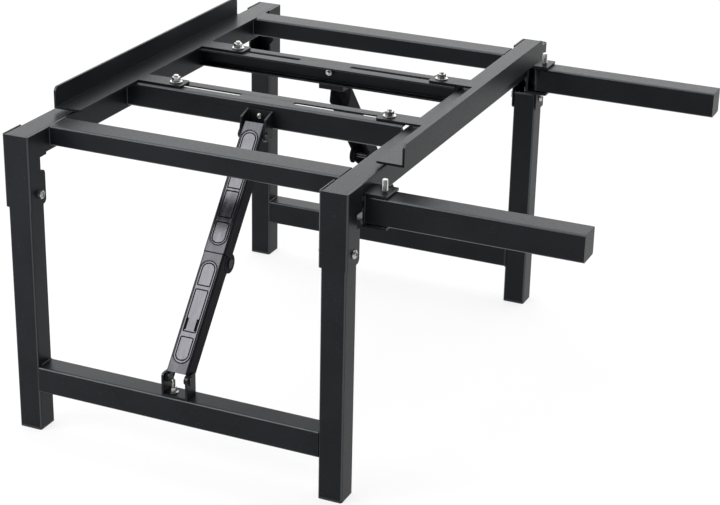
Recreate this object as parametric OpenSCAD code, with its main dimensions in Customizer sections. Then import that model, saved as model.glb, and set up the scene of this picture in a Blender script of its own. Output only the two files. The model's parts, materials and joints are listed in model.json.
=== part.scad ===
// Folding hive stand with sliding stops and two swinging frame arms.
// X runs along the near side, from the left rail to the arm ends. Y runs along the rails, from the
// near end to the far end. Z is up from the floor. The far half mirrors the near half about Y = 0.

/* [Stand] */
// Width over the leg sockets
stand_w = 396; // [376:5:416]
// Length along the rails
stand_l = 592; // [588:2:620]
// Height of the rail tops above the floor
stand_h = 342; // [338:1:344]

/* [Tubes] */
// Side of the square rail tube
rail_s = 28; // [28:0.5:30]
// Side of the square leg tube and depth of a crossbar
leg_s = 27.4; // [26:0.2:27.4]
// Height of a crossbar
crossbar_h = 30; // [27:0.5:31]
// Wall of every tube
tube_t = 1.5; // [1.2:0.1:1.8]
// Outer corner radius of every tube
tube_r = 2.6; // [2.2:0.1:3]
// Width of a cross rail
cross_w = 32; // [28:1:34]
// Height of a cross rail
cross_h = 22; // [20:1:26]
// Near face of a cross rail, from the end of the stand
cross_d = 44; // [40:1:60]
// Underside of a crossbar above the floor
crossbar_z = 47; // [40:1:52]

/* [Leg sockets] */
// Sheet of a socket
socket_t = 1.8; // [1.6:0.1:2.2]
// Bend radius at the outside of a socket
socket_r = 3; // [2:0.2:4]
// Height of a socket
socket_h = 81; // [78:1:84]
// Depth of a socket's side at the rail
socket_top_d = 34; // [32:1:38]
// Depth of a socket's side just under the rail
socket_neck_d = 22; // [20:1:26]
// Depth of the tab that takes the pivot bolt
tab_d = 30; // [28:1:31]
// Height of that tab
tab_h = 38; // [34:1:42]
// Corner radius of that tab
tab_r = 5; // [3:0.5:8]
// Pivot bolt from the end of the stand
pivot_d = 16; // [15.5:0.5:17]
// Pivot bolt above the bottom of the socket
pivot_rise = 14; // [12:1:18]

/* [Slotted bars] */
// Outer face of a bar's web, from the end of the stand
bar_d = 204; // [195:1:215]
// Width of a bar's top flange
bar_w = 33; // [32:1:36]
// Height of a bar's web
bar_h = 28; // [26:1:30]
// Top of a bar above the rail tops
bar_rise = 4; // [2:0.5:5]
// Width of a bar's lower return
bar_lip = 11; // [8:1:14]
// Sheet of a bar
bar_t = 2; // [1.6:0.1:2.4]
// Outer bend radius of a bar
bar_r = 3; // [2.4:0.1:3.6]
// Middle of the slots, from the outer face of the web
slot_d = 17; // [16:0.5:18]
// Width of a slot
slot_w = 7; // [6.8:0.1:8]
// Outer end of a slot, from the inner face of its rail
slot_start = 16; // [14:0.5:18]
// Metal left between the two slots of a bar
slot_gap = 64; // [60:1:100]

/* [Stops] */
// Sheet of a stop
stop_t = 2.5; // [2:0.1:3]
// Width of a stop's plate
stop_w = 32; // [30:1:40]
// Height of a stop's wall above the bars
stop_h = 24; // [18:1:30]
// Near end of a stop, from the end of the stand
stop_d = 86; // [80:1:110]
// Corner radius of a stop's wall
stop_r = 6; // [3:1:8]
// Bolt of a stop, from the outer face of its wall
stop_bolt_x = 74; // [66:1:80]
// Width of a stop's tongue
tongue_w = 24; // [20:1:24]
// Tongue tip past its bolt
tongue_tip = 12; // [10:1:16]
// Corner radius of a tongue and of a plate
tongue_r = 4; // [2:0.5:6]
// How far the left stop stands in from the outer face of its rail
stop_inset = 8; // [0:1:20]
// How far the right stop stands out past its rail
stop_shift = 24; // [0:1:25]

/* [Arms] */
// Reach of the arms past the right sockets
arm_reach = 227; // [200:1:240]
// Side of the square arm tube
arm_s = 29; // [27:0.5:29]
// Near face of the near arm, from the end of the stand
arm_d = 39; // [37:0.5:42]
// Top of the arms below the rail tops
arm_drop = 14; // [13:0.5:16]
// Pivot of an arm, out from the rail
arm_pivot_x = 17.5; // [17.5:0.5:19]
// Sheet of an arm bracket's back
arm_back_t = 2.5; // [2:0.1:2.5]
// Sheet of an arm bracket's plates
arm_plate_t = 3; // [2.5:0.1:3.5]
// Width of an arm bracket's plates along the arm
arm_plate_w = 26; // [25:1:32]
// Length of an arm bracket along the rail
arm_plate_l = 30; // [28:1:34]
// Thread of an arm bolt above its bracket
arm_stud_h = 13; // [10:0.5:14]

/* [Braces] */
// Foot pin of a brace, from the end of the stand
foot_pin_d = 12; // [11:0.5:14]
// Foot pin of a brace above the crossbar
foot_pin_h = 20; // [19:0.5:24]
// Top pin of a brace in front of its bar
top_pin_d = 16; // [16:0.5:18]
// Top pin of a brace below the rail tops
top_pin_drop = 28; // [26:0.5:30]
// Mid pin of a brace as a share of its length from the foot
mid_share = 0.485; // [0.47:0.0025:0.49]
// Mid pin behind the line of the end pins
mid_back = 11; // [10:0.5:12]
// Butt line of the two struts past the mid pin
butt_rise = 4; // [2:0.5:5]
// Width of an upper strut
strut_w = 26; // [24:0.5:27]
// Sheet of the struts and brackets
strut_t = 2; // [1.6:0.1:2.2]
// Front face of a strut in front of the end pins
strut_front = 8; // [8:0.5:9]
// Bend radius of a strut's front edges
strut_r = 2.4; // [2.2:0.1:3]

/* [Fasteners] */
// Radius of bolts and pins
bolt_r = 3; // [2.8:0.1:3]
// Radius of bolt and pin heads
head_r = 5; // [4.6:0.1:5.4]
// Height of bolt and pin heads
head_h = 3.4; // [3:0.1:4]
// Height of hex nuts
nut_h = 5; // [4:0.2:5.4]
// Radius of washers
washer_r = 7.2; // [6.5:0.1:7.5]
// Thickness of washers
washer_t = 1.4; // [1:0.1:1.6]

/* [Hidden] */
$fn = 48;

powder = [0.11, 0.12, 0.135];
ecoat = [0.30, 0.30, 0.34];
zinc = [0.76, 0.76, 0.74];
plastic = [0.06, 0.06, 0.065];

// Running fit of a pin in its hole, play between moving sheets, and overrun of a cut
fit = 0.06;
play = 0.4;
rest_gap = 0.2;
overrun = 1;

// Places across the stand
left_x = (head_h - stand_w - arm_reach) / 2;
mid_x = left_x + stand_w / 2;
near_y = -stand_l / 2;
socket_w = rail_s + 2 * socket_t;
rail_x = left_x + socket_t;
inner_x = rail_x + rail_s;
bay_w = stand_w - 2 * (socket_t + rail_s);
right_face_x = rail_x + stand_w - 2 * socket_t;
end_x = left_x + stand_w + arm_reach;

// Leg frame
socket_z = stand_h - socket_h;
pivot_y = near_y + pivot_d;
pivot_z = socket_z + pivot_rise;
leg_x = left_x + socket_w / 2;
leg_y = near_y + socket_t + rest_gap + leg_s / 2;
leg_round = pivot_d - socket_t - 2 * rest_gap;
sleeve_t = 2;
sleeve_r = bolt_r + sleeve_t;
plug_h = 2.5;
plug_depth = 14;

// Slotted bar and stops
bar_y = near_y + bar_d;
slot_y = bar_y + slot_d;
slot_l = (bay_w - slot_gap) / 2 - slot_start;
bar_top = stand_h + bar_rise;
stop_l = stand_l - 2 * stop_d;
stud_over = 2.2;
hex_sides = 6;

// Arm
arm_y = near_y + arm_d + arm_s / 2;
arm_top = stand_h - arm_drop;
arm_z = arm_top - arm_s / 2;
arm_x = right_face_x + arm_pivot_x;
arm_half = arm_s / 2;
arm_cap_t = 2;
plate_gap = 0.3;
dome_h = 1.4;

// Brace, in its own frame: along the struts from the foot pin, and out to their front face
foot_y = near_y + foot_pin_d;
crossbar_top = crossbar_z + crossbar_h;
foot_z = crossbar_top + foot_pin_h;
top_y = bar_y - top_pin_d;
top_z = stand_h - top_pin_drop;
brace_l = norm([top_y - foot_y, top_z - foot_z]);
brace_a = atan2(top_z - foot_z, top_y - foot_y);
mid_s = mid_share * brace_l;
lower_w = strut_w - 2 * play;
strut_back = -mid_back;
butt_gap = 0.2;
butt_s = mid_s + butt_rise;
upper_past = 12;
upper_end = brace_l + upper_past;
lower_end = 4;
foot_r = strut_front - strut_t;
eye_r = 8.5;
ear_r = 11;
eye_run = 26;
hook_play = 0.6;
hook_gap = bolt_r + hook_play;
hook_run = 12;
hook_relief = 16;
hook_tip = 6.5;
hook_drop = 0.5;
ear_t = 2.4;
foot_ear_rise = 6;
foot_ear_r = 3;
bracket_near = 9;
bracket_far = 10;
stud_h = 18;
stud_r = 2.5;
stud_x = 6;
flange_h = 1.4;
flange_r = 5.4;
small_nut_r = 4.2;
screw_h = 2.6;
screw_r = 2.2;
screw_head_r = 3.4;
screw_rise = 18;
top_ear_r = 5.4;
top_ear_rise = 25;
top_ear_fall = 5;
top_ear_front = 1;

// Pressed panels of the struts, as shares of a strut's front face from its upper end
upper_panel_shares = [[0.079, 0.516], [0.53, 0.738], [0.767, 0.932]];
upper_rim_shares = [0.057, 0.95];
lower_panel_shares = [[0.085, 0.283], [0.308, 0.668], [0.703, 0.902]];
lower_rim_shares = [0.063, 0.93];
lower_slot_shares = [0.552, 0.65];
panel_w_share = 0.64;
rim_w_share = 0.86;
panel_line = 1.4;
rim_line = 0.9;
panel_deep = 1;
rim_deep = 0.6;
panel_corner = 2;
vent_w = 2.2;
vent_deep = 1.6;

// Copies across the stand

module far() {
    mirror([0, 1, 0]) children();
}

module right() {
    translate([2 * mid_x, 0, 0]) mirror([1, 0, 0]) children();
}

module both_sides() {
    children();
    right() children();
}

module both_ends() {
    children();
    far() children();
}

// Outlines and tubes

module round_rect(w, h, r) {
    square([w - 2 * r, h], center = true);
    square([w, h - 2 * r], center = true);
    for (x = [-1, 1], y = [-1, 1])
        translate([x * (w / 2 - r), y * (h / 2 - r)]) circle(r);
}

module tube_outline(w, h) {
    difference() {
        round_rect(w, h, tube_r);
        round_rect(w - 2 * tube_t, h - 2 * tube_t, tube_r - tube_t);
    }
}

// A tube from x0 to x1 about the given centre line
module tube_x(x0, x1, y, z, w, h) {
    translate([x0, y, z]) rotate([90, 0, 90]) linear_extrude(x1 - x0) tube_outline(w, h);
}

// A Y-Z outline made thick along X
module across(x, w) {
    translate([x, 0, 0]) rotate([90, 0, 90]) linear_extrude(w) children();
}

// Round bar along X, centred on the given point
module bar_x(x, y, z, l, r) {
    translate([x, y, z]) rotate([0, 90, 0]) cylinder(h = l, r = r, center = true);
}

// Hex prism standing on the given height
module hex(z, h, r) {
    translate([0, 0, z]) cylinder(h = h, r = r, $fn = hex_sides);
}

// Nut with its bore
module nut(h, outer_r, shank_r) {
    difference() {
        hex(0, h, outer_r);
        translate([0, 0, -overrun]) cylinder(h = h + 2 * overrun, r = shank_r + fit);
    }
}

// Low domed head, standing on Z = 0
module dome_head(h, r) {
    cylinder(h = h / 2, r = r);
    translate([0, 0, h / 2]) cylinder(h = h / 2, r1 = r, r2 = r / 2);
}

// Rectangle from s0 to s1 with its own corner radius at each end
module panel(s0, s1, w, r0, r1) {
    translate([s0 + r0, -w / 2]) square([s1 - r1 - s0 - r0, w]);
    translate([s0, r0 - w / 2]) square([r0, w - 2 * r0]);
    translate([s1 - r1, r1 - w / 2]) square([r1, w - 2 * r1]);
    for (side = [-1, 1]) {
        translate([s0 + r0, side * (w / 2 - r0)]) circle(r0);
        translate([s1 - r1, side * (w / 2 - r1)]) circle(r1);
    }
}

module panel_ring(s0, s1, w, r0, r1, line) {
    difference() {
        panel(s0, s1, w, r0, r1);
        panel(s0 + line, s1 - line, w - 2 * line, r0 - line, r1 - line);
    }
}

// Top frame

module rail() {
    translate([rail_x + rail_s / 2, near_y + socket_t, stand_h - rail_s / 2])
        rotate([-90, 0, 0]) linear_extrude(stand_l - 2 * socket_t) tube_outline(rail_s, rail_s);
}

module left_rail() {
    color(powder) rail();
}

module right_rail() {
    color(powder) right() rail();
}

module near_cross_rail() {
    color(powder)
        tube_x(inner_x, inner_x + bay_w, near_y + cross_d + cross_w / 2, stand_h - cross_h / 2,
            cross_w, cross_h);
}

module far_cross_rail() {
    color(powder) far() near_cross_rail();
}

// Channel open to the middle of the stand, from the outer face of its web
module bar_outline() {
    difference() {
        translate([bar_w, bar_top - bar_h / 2]) round_rect(2 * bar_w, bar_h, bar_r);
        translate([bar_t, bar_top - bar_h + bar_t]) square([2 * bar_w, bar_h - 2 * bar_t]);
        translate([bar_w, bar_top - bar_h - overrun]) square([bar_w + overrun, bar_h + 2 * overrun]);
        translate([bar_lip, bar_top - bar_h - overrun]) square([bar_w, bar_h / 2]);
    }
}

module slot_cut() {
    r = slot_w / 2;
    translate([inner_x + slot_start, slot_y, bar_top - bar_t - overrun])
        linear_extrude(bar_t + 2 * overrun) {
            translate([r, -r]) square([slot_l - slot_w, slot_w]);
            for (x = [r, slot_l - r]) translate([x, 0]) circle(r);
        }
}

module slotted_bar() {
    difference() {
        across(inner_x, bay_w) translate([bar_y, 0]) bar_outline();
        both_sides() slot_cut();
        translate([mid_x, bar_y, top_z + screw_rise]) rotate([-90, 0, 0])
            cylinder(h = 2 * bar_t + overrun, r = screw_r + fit, center = true);
    }
}

module near_slotted_bar() {
    color(powder) slotted_bar();
}

module far_slotted_bar() {
    color(powder) far() slotted_bar();
}

// Side of a socket: the rail's wrap, a neck, and the tab of the pivot bolt
module socket_side() {
    translate([near_y, socket_z]) square([socket_neck_d, socket_h]);
    translate([near_y, stand_h - rail_s]) square([socket_top_d, rail_s]);
    translate([near_y + tab_d / 2, socket_z + tab_h / 2]) round_rect(tab_d, tab_h, tab_r);
}

module socket_plan() {
    difference() {
        translate([leg_x, near_y + socket_top_d]) round_rect(socket_w, 2 * socket_top_d, socket_r);
        translate([rail_x, near_y + socket_t]) square([rail_s, 2 * socket_top_d]);
    }
}

module socket() {
    difference() {
        intersection() {
            translate([0, 0, socket_z]) linear_extrude(socket_h) socket_plan();
            across(left_x, socket_w) socket_side();
        }
        bar_x(leg_x, pivot_y, pivot_z, socket_w + 2 * overrun, bolt_r + fit);
    }
}

module near_left_socket() {
    color(powder) socket();
}

module near_right_socket() {
    color(powder) right() socket();
}

module far_left_socket() {
    color(powder) far() socket();
}

module far_right_socket() {
    color(powder) far() right() socket();
}

// Bolt from the outer side of the socket to past its nut
module leg_pivot_bolt() {
    bar_x(leg_x + nut_h / 2, pivot_y, pivot_z, socket_w + nut_h, bolt_r);
    translate([left_x, pivot_y, pivot_z]) rotate([0, -90, 0]) dome_head(head_h, head_r);
}

module leg_pivot_nut() {
    translate([left_x + socket_w, pivot_y, pivot_z]) rotate([0, 90, 0]) nut(nut_h, head_r, bolt_r);
}

module leg_pivot_bolts() {
    color(zinc) both_ends() both_sides() leg_pivot_bolt();
}

module leg_pivot_nuts() {
    color(zinc) both_ends() both_sides() leg_pivot_nut();
}

// Open bracket on the right rail: a back, and a plate over and under the arm
module arm_bracket() {
    low_z = arm_z - arm_half - plate_gap - arm_plate_t;
    high_z = arm_top + plate_gap;
    difference() {
        translate([right_face_x, near_y + arm_d, 0]) {
            translate([0, 0, low_z])
                cube([arm_back_t, arm_plate_l, high_z + arm_plate_t - low_z]);
            for (z = [low_z, high_z]) translate([0, 0, z]) cube([arm_plate_w, arm_plate_l, arm_plate_t]);
        }
        translate([arm_x, arm_y, low_z - overrun]) cylinder(h = stand_h, r = bolt_r + fit);
    }
}

module near_arm_bracket() {
    color(powder) arm_bracket();
}

module far_arm_bracket() {
    color(powder) far() arm_bracket();
}

module arm_pivot_bolt() {
    low_z = arm_z - arm_half - plate_gap - arm_plate_t;
    tip_z = arm_top + plate_gap + arm_plate_t + arm_stud_h;
    translate([arm_x, arm_y, 0]) {
        hex(low_z - head_h, head_h, head_r);
        translate([0, 0, low_z]) cylinder(h = tip_z - dome_h - low_z, r = bolt_r);
        translate([0, 0, tip_z - dome_h]) cylinder(h = dome_h, r1 = bolt_r, r2 = bolt_r / 2);
    }
}

module arm_pivot_bolts() {
    color(zinc) both_ends() arm_pivot_bolt();
}

// Top bracket of a brace: a plate on the bar's web and two ears beside the upper strut
module top_bracket() {
    ear_x = strut_w / 2 + play;
    ear_top = top_z + top_ear_rise;
    difference() {
        union() {
            translate([mid_x - ear_x - ear_t, bar_y - strut_t, top_z - top_ear_r])
                cube([2 * (ear_x + ear_t), strut_t, top_ear_r + top_ear_rise]);
            for (x = [-ear_x - ear_t, ear_x]) across(mid_x + x, ear_t) {
                polygon([[top_y, top_z - top_ear_r], [bar_y, top_z - top_ear_r], [bar_y, ear_top],
                    [top_y - top_ear_front, ear_top - top_ear_fall], [top_y - top_ear_r, top_z]]);
                translate([top_y, top_z]) circle(top_ear_r);
            }
        }
        bar_x(mid_x, top_y, top_z, 2 * strut_w, bolt_r + fit);
        translate([mid_x, bar_y, top_z + screw_rise]) rotate([90, 0, 0])
            cylinder(h = 2 * strut_t + overrun, r = screw_r + fit, center = true);
    }
}

module near_top_bracket() {
    color(powder) top_bracket();
}

module far_top_bracket() {
    color(powder) far() top_bracket();
}

module top_bracket_screw() {
    translate([mid_x, bar_y - strut_t, top_z + screw_rise]) {
        rotate([90, 0, 0]) dome_head(screw_h, screw_head_r);
        rotate([-90, 0, 0]) cylinder(h = strut_t + bar_t + nut_h + stud_over, r = screw_r);
    }
}

module top_bracket_nut() {
    translate([mid_x, bar_y + bar_t, top_z + screw_rise]) rotate([-90, 0, 0])
        nut(nut_h, small_nut_r, screw_r);
}

module top_bracket_screws() {
    color(zinc) both_ends() top_bracket_screw();
}

module top_bracket_nuts() {
    color(zinc) both_ends() top_bracket_nut();
}

// Pin along X with a low head at each end
module headed_pin(x, y, z, l) {
    bar_x(x, y, z, l, bolt_r);
    for (side = [-1, 1]) bar_x(x + side * (l + washer_t) / 2, y, z, washer_t, head_r);
}

module top_pins() {
    color(powder) both_ends() headed_pin(mid_x, top_y, top_z, strut_w + 2 * (play + ear_t));
}

// Leg frames

// Side of a leg: square below the pivot, round above it so that it turns inside the socket
module leg_side() {
    translate([near_y, 0]) square([socket_top_d, pivot_z]);
    translate([pivot_y, pivot_z]) circle(leg_round);
}

module leg() {
    difference() {
        intersection() {
            translate([leg_x, leg_y, plug_h]) linear_extrude(stand_h - rail_s) tube_outline(leg_s, leg_s);
            across(left_x, socket_w) leg_side();
        }
        bar_x(leg_x, pivot_y, pivot_z, socket_w, bolt_r + fit);
    }
}

module leg_sleeve() {
    difference() {
        bar_x(leg_x, pivot_y, pivot_z, leg_s - 2 * tube_t, sleeve_r);
        bar_x(leg_x, pivot_y, pivot_z, leg_s, bolt_r + fit);
    }
}

module foot_plug() {
    translate([leg_x, leg_y, 0]) {
        linear_extrude(plug_h) round_rect(leg_s, leg_s, tube_r);
        linear_extrude(plug_h + plug_depth) square(leg_s - 2 * tube_t - rest_gap, center = true);
    }
}

module crossbar() {
    x = leg_x + leg_s / 2;
    tube_x(x, 2 * mid_x - x, leg_y, crossbar_top - crossbar_h / 2, leg_s, crossbar_h);
}

module near_left_leg() {
    color(powder) leg();
}

module near_right_leg() {
    color(powder) right() leg();
}

module near_crossbar() {
    color(powder) crossbar();
}

module near_leg_sleeves() {
    color(zinc) both_sides() leg_sleeve();
}

module near_foot_plugs() {
    color(plastic) both_sides() foot_plug();
}

module far_left_leg() {
    color(powder) far() leg();
}

module far_right_leg() {
    color(powder) far() right() leg();
}

module far_crossbar() {
    color(powder) far() crossbar();
}

module far_leg_sleeves() {
    color(zinc) far() both_sides() leg_sleeve();
}

module far_foot_plugs() {
    color(plastic) far() both_sides() foot_plug();
}

// Foot bracket of a brace: a plate on the crossbar and two ears round the lower strut
module foot_bracket() {
    ear_x = lower_w / 2 + play;
    near = foot_y - bracket_near;
    depth = bracket_near + bracket_far;
    ear_h = foot_pin_h + foot_ear_rise;
    difference() {
        union() {
            translate([mid_x - ear_x - ear_t, near, crossbar_top]) cube([2 * (ear_x + ear_t), depth, ear_t]);
            for (x = [-ear_x - ear_t, ear_x]) across(mid_x + x, ear_t) {
                translate([near, crossbar_top]) square([depth, foot_pin_h]);
                translate([near + depth / 2, crossbar_top + ear_h / 2]) round_rect(depth, ear_h, foot_ear_r);
            }
        }
        bar_x(mid_x, foot_y, foot_z, 2 * strut_w, bolt_r + fit);
        translate([mid_x - stud_x, foot_y, crossbar_top - overrun])
            cylinder(h = foot_pin_h, r = stud_r + fit);
    }
}

module foot_stud() {
    translate([mid_x - stud_x, foot_y, crossbar_top]) {
        cylinder(h = stud_h - dome_h, r = stud_r);
        translate([0, 0, stud_h - dome_h]) cylinder(h = dome_h, r1 = stud_r, r2 = stud_r / 2);
    }
}

module foot_nut() {
    translate([mid_x - stud_x, foot_y, crossbar_top + ear_t]) difference() {
        union() {
            cylinder(h = flange_h, r = flange_r);
            hex(flange_h, nut_h, small_nut_r);
        }
        translate([0, 0, -overrun]) cylinder(h = stud_h, r = stud_r + fit);
    }
}

// Short pin through each ear and the strut's wall beside it, with a low head at each end
module foot_pins() {
    inner = lower_w / 2 - strut_t - rest_gap;
    outer = lower_w / 2 + play + ear_t;
    for (side = [-1, 1]) headed_pin(mid_x + side * (inner + outer) / 2, foot_y, foot_z, outer - inner);
}

module near_foot_bracket() {
    color(powder) foot_bracket();
}

module near_foot_stud() {
    color(zinc) foot_stud();
}

module near_foot_nut() {
    color(zinc) foot_nut();
}

module near_foot_pins() {
    color(powder) foot_pins();
}

module far_foot_bracket() {
    color(powder) far() foot_bracket();
}

module far_foot_stud() {
    color(zinc) far() foot_stud();
}

module far_foot_nut() {
    color(zinc) far() foot_nut();
}

module far_foot_pins() {
    color(powder) far() foot_pins();
}

// Braces

// Puts a strut's own frame in place: its length from the foot pin, its width, its front side up
module in_brace() {
    translate([mid_x, foot_y, foot_z]) rotate([0, 0, 90]) rotate([0, -brace_a, 0]) children();
}

// A side outline made as wide as given, about the middle of the brace
module strut_side(w) {
    translate([0, w / 2, 0]) rotate([90, 0, 0]) linear_extrude(w) children();
}

// Channel section of a strut, open at the back, along the whole brace
module strut_channel(w) {
    h = strut_front - strut_back + ear_r;
    l = upper_end + 4 * foot_r;
    translate([-2 * foot_r, 0, 0]) rotate([90, 0, 90]) linear_extrude(l) difference() {
        translate([0, strut_front - h]) round_rect(w, 2 * h, strut_r);
        translate([strut_t - w / 2, strut_front - 2 * h - overrun])
            square([w - 2 * strut_t, 2 * h + overrun - strut_t]);
    }
}

// Pin hole across a strut
module strut_bore(s, n) {
    translate([s, 0, n]) rotate([90, 0, 0])
        cylinder(h = 2 * strut_w, r = bolt_r + fit, center = true);
}

// Pressed lines round the panels of a strut, on its front face from s1 down to s0
module pressed_lines(s0, s1, w, rim, panels) {
    at = function(share) s1 - share * (s1 - s0);
    panel_w = w * panel_w_share;
    rim_w = w * rim_w_share;
    end_r = (panel_w - panel_line) / 2;
    translate([0, 0, strut_front - rim_deep]) linear_extrude(overrun)
        panel_ring(at(rim[1]), at(rim[0]), rim_w, (rim_w - rim_line) / 2, (rim_w - rim_line) / 2, rim_line);
    translate([0, 0, strut_front - panel_deep]) linear_extrude(overrun) {
        panel_ring(at(panels[0][1]), at(panels[0][0]), panel_w, panel_corner, end_r, panel_line);
        panel_ring(at(panels[1][1]), at(panels[1][0]), panel_w, panel_corner, panel_corner, panel_line);
        panel_ring(at(panels[2][1]), at(panels[2][0]), panel_w, end_r, panel_corner, panel_line);
    }
}

// Lower strut: round at the foot pin, where its web ends short, and cut back round the upper one's ears
module lower_side() {
    difference() {
        polygon([[0, strut_back], [butt_s - butt_gap, strut_back], [butt_s - butt_gap, strut_front],
            [lower_end, strut_front], [lower_end, foot_r], [0, foot_r]]);
        translate([mid_s, strut_back]) circle(ear_r + play);
    }
    circle(foot_r);
}

// Eye inside the channel that turns on the mid pin
module eye_side() {
    translate([mid_s, strut_back]) circle(eye_r);
    polygon([[mid_s, strut_back - eye_r], [mid_s - eye_run, strut_back],
        [mid_s - eye_run, strut_front - strut_t], [mid_s, strut_back + eye_r]]);
}

module lower_strut() {
    s1 = butt_s - butt_gap;
    vent_s = [for (share = lower_slot_shares) s1 - share * (s1 - lower_end)];
    vent_y = lower_w * panel_w_share / 2 - vent_w;
    in_brace() difference() {
        union() {
            intersection() {
                strut_channel(lower_w);
                strut_side(lower_w) lower_side();
            }
            for (side = [0, 1]) mirror([0, side, 0])
                translate([0, lower_w / 2 - 3 * strut_t / 2, 0]) strut_side(strut_t) eye_side();
        }
        strut_bore(0, 0);
        strut_bore(mid_s, strut_back);
        pressed_lines(lower_end, s1, lower_w, lower_rim_shares, lower_panel_shares);
        for (side = [-1, 1]) translate([vent_s[1], side * vent_y - vent_w / 2, strut_front - vent_deep])
            cube([vent_s[0] - vent_s[1], vent_w, strut_t]);
    }
}

// Upper strut: with ears on the mid pin, and hooked over the top pin
module upper_side() {
    web_back = strut_front - strut_t;
    polygon([[butt_s + butt_gap, strut_back], [brace_l - hook_relief - hook_run, strut_back],
        [brace_l - hook_relief, hook_gap], [brace_l + hook_gap, hook_gap],
        [brace_l + hook_gap, -hook_drop], [brace_l + hook_tip, -hook_drop],
        [brace_l + hook_tip, web_back], [upper_end, web_back], [upper_end, strut_front],
        [butt_s + butt_gap, strut_front]]);
    translate([mid_s, strut_back]) circle(ear_r);
}

module upper_strut() {
    in_brace() difference() {
        intersection() {
            strut_channel(strut_w);
            strut_side(strut_w) upper_side();
        }
        strut_bore(mid_s, strut_back);
        pressed_lines(butt_s + butt_gap, upper_end, strut_w, upper_rim_shares, upper_panel_shares);
    }
}

module mid_pin() {
    mid_y = foot_y + mid_s * cos(brace_a) - strut_back * sin(brace_a);
    mid_z = foot_z + mid_s * sin(brace_a) + strut_back * cos(brace_a);
    headed_pin(mid_x, mid_y, mid_z, strut_w);
}

module near_lower_strut() {
    color(ecoat) lower_strut();
}

module near_upper_strut() {
    color(ecoat) upper_strut();
}

module near_mid_pin() {
    color(powder) mid_pin();
}

module far_lower_strut() {
    color(ecoat) far() lower_strut();
}

module far_upper_strut() {
    color(ecoat) far() upper_strut();
}

module far_mid_pin() {
    color(powder) far() mid_pin();
}

// Stops

// Plan of a stop: its plate on the rail and a tongue on each bar
module stop_plan() {
    plate_x = rail_x + stop_w / 2;
    translate([plate_x, 0]) round_rect(stop_w, stop_l, tongue_r);
    translate([rail_x, -stop_l / 2]) square([stop_w / 2, stop_l]);
    both_ends() translate([rail_x + (stop_bolt_x + tongue_tip) / 2, slot_y])
        round_rect(stop_bolt_x + tongue_tip, tongue_w, tongue_r);
}

module stop() {
    difference() {
        union() {
            translate([0, 0, bar_top]) linear_extrude(stop_t) stop_plan();
            across(rail_x, stop_t) {
                translate([0, bar_top + stop_h / 2]) round_rect(stop_l, stop_h, stop_r);
                translate([-stop_l / 2, bar_top]) square([stop_l, stop_h / 2]);
            }
        }
        both_ends() translate([rail_x + stop_bolt_x, slot_y, bar_top - overrun])
            cylinder(h = stop_t + 2 * overrun, r = bolt_r + fit);
    }
}

module at_stop_bolts() {
    both_ends() translate([rail_x + stop_bolt_x, slot_y, 0]) children();
}

// Bolt from under the bar's flange to past its nut
module stop_bolt() {
    tip = bar_top + stop_t + washer_t + nut_h + stud_over;
    hex(bar_top - bar_t - head_h, head_h, head_r);
    translate([0, 0, bar_top - bar_t]) cylinder(h = tip - bar_top + bar_t, r = bolt_r);
}

module stop_washer() {
    translate([0, 0, bar_top + stop_t]) difference() {
        cylinder(h = washer_t, r = washer_r);
        translate([0, 0, -overrun]) cylinder(h = washer_t + 2 * overrun, r = bolt_r + fit);
    }
}

module stop_nut() {
    translate([0, 0, bar_top + stop_t + washer_t]) nut(nut_h, head_r, bolt_r);
}

module at_left_stop() {
    translate([stop_inset, 0, 0]) children();
}

module at_right_stop() {
    translate([stop_shift, 0, 0]) right() children();
}

module left_stop() {
    color(powder) at_left_stop() stop();
}

module left_stop_bolts() {
    color(zinc) at_left_stop() at_stop_bolts() stop_bolt();
}

module left_stop_washers() {
    color(zinc) at_left_stop() at_stop_bolts() stop_washer();
}

module left_stop_nuts() {
    color(zinc) at_left_stop() at_stop_bolts() stop_nut();
}

module right_stop() {
    color(powder) at_right_stop() stop();
}

module right_stop_bolts() {
    color(zinc) at_right_stop() at_stop_bolts() stop_bolt();
}

module right_stop_washers() {
    color(zinc) at_right_stop() at_stop_bolts() stop_washer();
}

module right_stop_nuts() {
    color(zinc) at_right_stop() at_stop_bolts() stop_nut();
}

// Arms

// Plan of an arm about its pivot: the corner that sweeps past the rail is round
module arm_plan() {
    translate([0, -arm_half]) square([end_x - arm_cap_t - arm_x, arm_s]);
    translate([-arm_half, -arm_half]) square(arm_half);
    circle(arm_half);
}

module arm() {
    difference() {
        intersection() {
            tube_x(arm_x - arm_half, end_x - arm_cap_t, arm_y, arm_z, arm_s, arm_s);
            translate([arm_x, arm_y, arm_z - arm_half]) linear_extrude(arm_s) arm_plan();
        }
        translate([arm_x, arm_y, arm_z]) cylinder(h = 2 * arm_s, r = bolt_r + fit, center = true);
    }
}

module arm_cap() {
    translate([end_x - arm_cap_t, arm_y, arm_z]) rotate([90, 0, 90])
        linear_extrude(arm_cap_t) round_rect(arm_s, arm_s, tube_r);
}

module arm_sleeve() {
    translate([arm_x, arm_y, arm_z]) difference() {
        cylinder(h = arm_s - 2 * tube_t, r = sleeve_r, center = true);
        cylinder(h = arm_s, r = bolt_r + fit, center = true);
    }
}

module near_arm() {
    color(powder) arm();
}

module near_arm_cap() {
    color(powder) arm_cap();
}

module near_arm_sleeve() {
    color(zinc) arm_sleeve();
}

module far_arm() {
    color(powder) far() arm();
}

module far_arm_cap() {
    color(powder) far() arm_cap();
}

module far_arm_sleeve() {
    color(zinc) far() arm_sleeve();
}

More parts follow.
